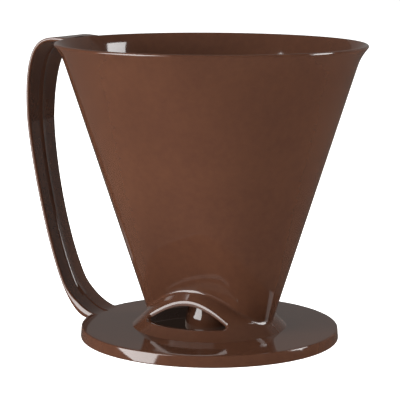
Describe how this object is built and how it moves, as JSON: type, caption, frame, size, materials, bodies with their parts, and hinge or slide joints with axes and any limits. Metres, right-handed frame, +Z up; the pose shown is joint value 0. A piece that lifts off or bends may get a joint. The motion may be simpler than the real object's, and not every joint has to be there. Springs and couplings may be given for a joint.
{
  "type": "pour over coffee dripper",
  "caption": "One-piece moulded cone filter holder with a flared rim, strap handle, round cup flange and a collar with a viewing window.",
  "frame": {"origin": "on the cone's axis, at the plane that the flange's rim and the cup ring stand on", "axes": "+Z up along the cone's axis to the rim, handle on -X, viewing window faces -Y"},
  "size_m": [0.1499, 0.13, 0.1245],
  "materials": {
    "brown_polypropylene": "glossy injection-moulded polypropylene"
  },
  "bodies": {
    "root": {"rim_lip": "brown_polypropylene", "filter_cone": "brown_polypropylene", "flow_ribs": "brown_polypropylene", "filter_bed": "brown_polypropylene", "drip_outlet": "brown_polypropylene", "window_collar": "brown_polypropylene", "flange_plate": "brown_polypropylene", "flange_rim": "brown_polypropylene", "cup_ring": "brown_polypropylene", "handle_root": "brown_polypropylene", "handle_strap": "brown_polypropylene", "handle_foot": "brown_polypropylene", "moulding_line": "brown_polypropylene"}
  },
  "joints": []
}
